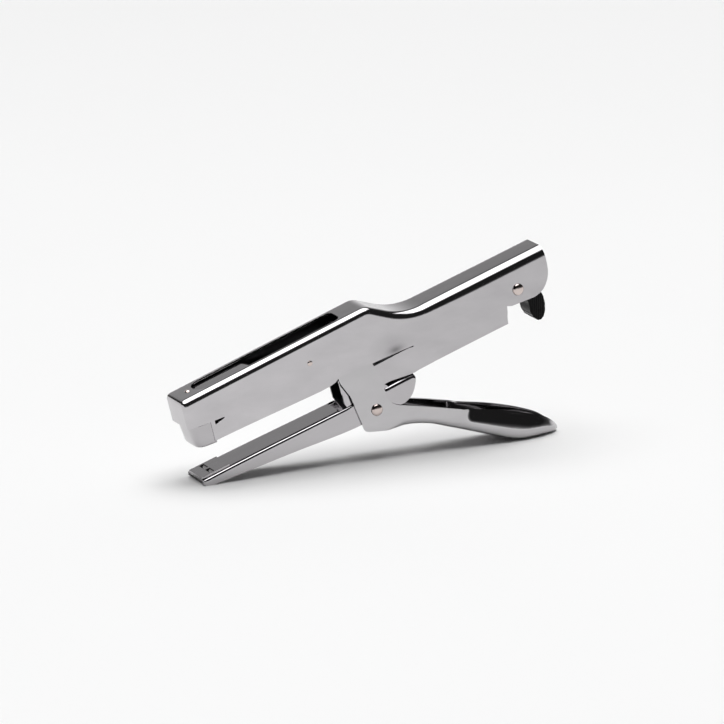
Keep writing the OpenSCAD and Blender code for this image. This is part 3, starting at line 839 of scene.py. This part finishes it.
# ---------------------------------------------------------------- studio
def build_floor():
    """A wide white sheet at the height of the ground."""
    bm = bmesh.new()
    for x, y in ((-5, -5), (5, -5), (5, 6), (-5, 6)):
        bm.verts.new((x, y, 0))
    bm.faces.new(bm.verts)
    ob = mesh_object("floor", bm, False)
    mat, nt, sh = node_mat("floor_white")
    n = noise(nt, coords(nt, (3, 3, 3)), 1.0, 2)
    nt.links.new(ramp_color(nt, n, (0.86, 0.86, 0.86), (0.88, 0.88, 0.88)), sh.inputs["Base Color"])
    sh.inputs["Roughness"].default_value = 0.9
    sh.inputs["Specular IOR Level"].default_value = 0.1
    ob.data.materials.append(mat)


build_floor()


def area(name, at, aim, size, size_y, power):
    """A rectangular light at one place, aimed at another."""
    data = bpy.data.lights.new(name, "AREA")
    data.shape = "RECTANGLE"
    data.size = size
    data.size_y = size_y
    data.energy = power
    ob = bpy.data.objects.new(name, data)
    bpy.context.collection.objects.link(ob)
    ob.location = at
    ob.rotation_euler = (Vector(aim) - Vector(at)).to_track_quat("-Z", "Y").to_euler()


area("soft_top", (0.0, -0.1, 1.7), (0, 0, 0.04), 1.2, 0.9, 6)


# Brightness from the horizon up, on the camera's side and on the far side
FRONT_STOPS = ((0.0, 0.75), (0.05, 0.35), (0.12, 0.1), (0.22, 0.02), (0.84, 0.02), (0.91, 2.8),
               (1.0, 2.8))
BACK_STOPS = ((0.0, 1.0), (0.16, 0.85), (0.32, 0.62), (0.43, 0.42), (0.50, 0.38), (0.56, 0.04),
              (0.75, 0.03), (0.82, 2.8), (1.0, 2.8))


def brightness(nt, fac, stops):
    """A run of greys over the factor."""
    node = nt.nodes.new("ShaderNodeValToRGB")
    el = node.color_ramp.elements
    el[0].position, el[1].position = stops[0][0], stops[-1][0]
    el[0].color = (stops[0][1],) * 3 + (1,)
    el[1].color = (stops[-1][1],) * 3 + (1,)
    for pos, val in stops[1:-1]:
        el.new(pos).color = (val, val, val, 1)
    nt.links.new(fac, node.inputs["Fac"])
    return node.outputs["Color"]


def build_world():
    """A dim room with a bright ceiling and a pale far wall that is dark toward the left."""
    w = bpy.data.worlds.new("studio")
    bpy.context.scene.world = w
    w.use_nodes = True
    nt = w.node_tree
    bg = nt.nodes["Background"]
    tc = nt.nodes.new("ShaderNodeTexCoord")
    sep = nt.nodes.new("ShaderNodeSeparateXYZ")
    nt.links.new(tc.outputs["Generated"], sep.inputs[0])
    mix = nt.nodes.new("ShaderNodeMix")
    mix.data_type = "RGBA"
    nt.links.new(remap(nt, sep.outputs["Y"], 0.0, 1.0, -0.08, 0.08), mix.inputs["Factor"])
    nt.links.new(brightness(nt, sep.outputs["Z"], FRONT_STOPS), mix.inputs["A"])
    nt.links.new(brightness(nt, sep.outputs["Z"], BACK_STOPS), mix.inputs["B"])
    keep = nt.nodes.new("ShaderNodeMath")
    keep.operation = "MAXIMUM"
    nt.links.new(remap(nt, sep.outputs["X"], 0.05, 1.0, -0.42, -0.22), keep.inputs[0])
    nt.links.new(remap(nt, sep.outputs["Z"], 0.0, 1.0, 0.70, 0.80), keep.inputs[1])
    dim = nt.nodes.new("ShaderNodeVectorMath")
    dim.operation = "SCALE"
    nt.links.new(mix.outputs["Result"], dim.inputs[0])
    nt.links.new(keep.outputs[0], dim.inputs["Scale"])
    nt.links.new(dim.outputs["Vector"], bg.inputs["Color"])
    bg.inputs["Strength"].default_value = 1.0


build_world()
bpy.context.scene.view_settings.view_transform = "Standard"

# Focal length in widths of the picture, and the width of the sensor in mm
FOCAL = 6000 / 724
SENSOR = 36.0
# Point that the camera aims at in mm, the angles it looks along and its distance in metres
AIM = (-3.08, 0, 40.74)
AZIMUTH, LOOK_DOWN = math.radians(26.5), math.radians(15.8)
DISTANCE = 2.449


def build_camera():
    """A long lens from far off, at the photo's angle."""
    data = bpy.data.cameras.new("camera")
    data.sensor_width = SENSOR
    data.lens = SENSOR * FOCAL
    data.clip_end = 50
    ob = bpy.data.objects.new("camera", data)
    bpy.context.collection.objects.link(ob)
    level = math.cos(LOOK_DOWN)
    look = Vector((math.sin(AZIMUTH) * level, math.cos(AZIMUTH) * level, -math.sin(LOOK_DOWN)))
    ob.location = Vector(AIM) * MM - look * DISTANCE
    ob.rotation_euler = look.to_track_quat("-Z", "Y").to_euler()
    bpy.context.scene.camera = ob


build_camera()
